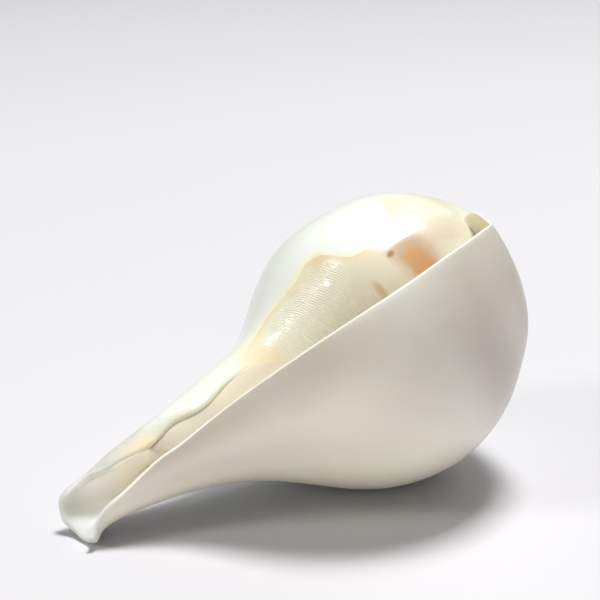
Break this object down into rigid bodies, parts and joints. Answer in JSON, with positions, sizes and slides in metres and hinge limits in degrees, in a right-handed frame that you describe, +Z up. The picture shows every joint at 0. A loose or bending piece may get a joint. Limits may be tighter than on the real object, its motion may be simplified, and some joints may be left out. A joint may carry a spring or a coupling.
{
  "type": "conch shell",
  "caption": "Polished right-handed sea snail shell with a low spire, a wide last whorl, a straight outer lip, an open aperture and a long open canal, lying on its belly.",
  "frame": {"origin": "on the ground, under the middle of the shell's bounding box as it lies", "axes": "+Z up, +X towards the spire, the tip of the canal towards -X, the outer lip on the -Y side"},
  "size_m": [0.1331, 0.0836, 0.0767],
  "materials": {
    "shell": null
  },
  "bodies": {
    "root": {"conch_shell": "shell"}
  },
  "joints": []
}
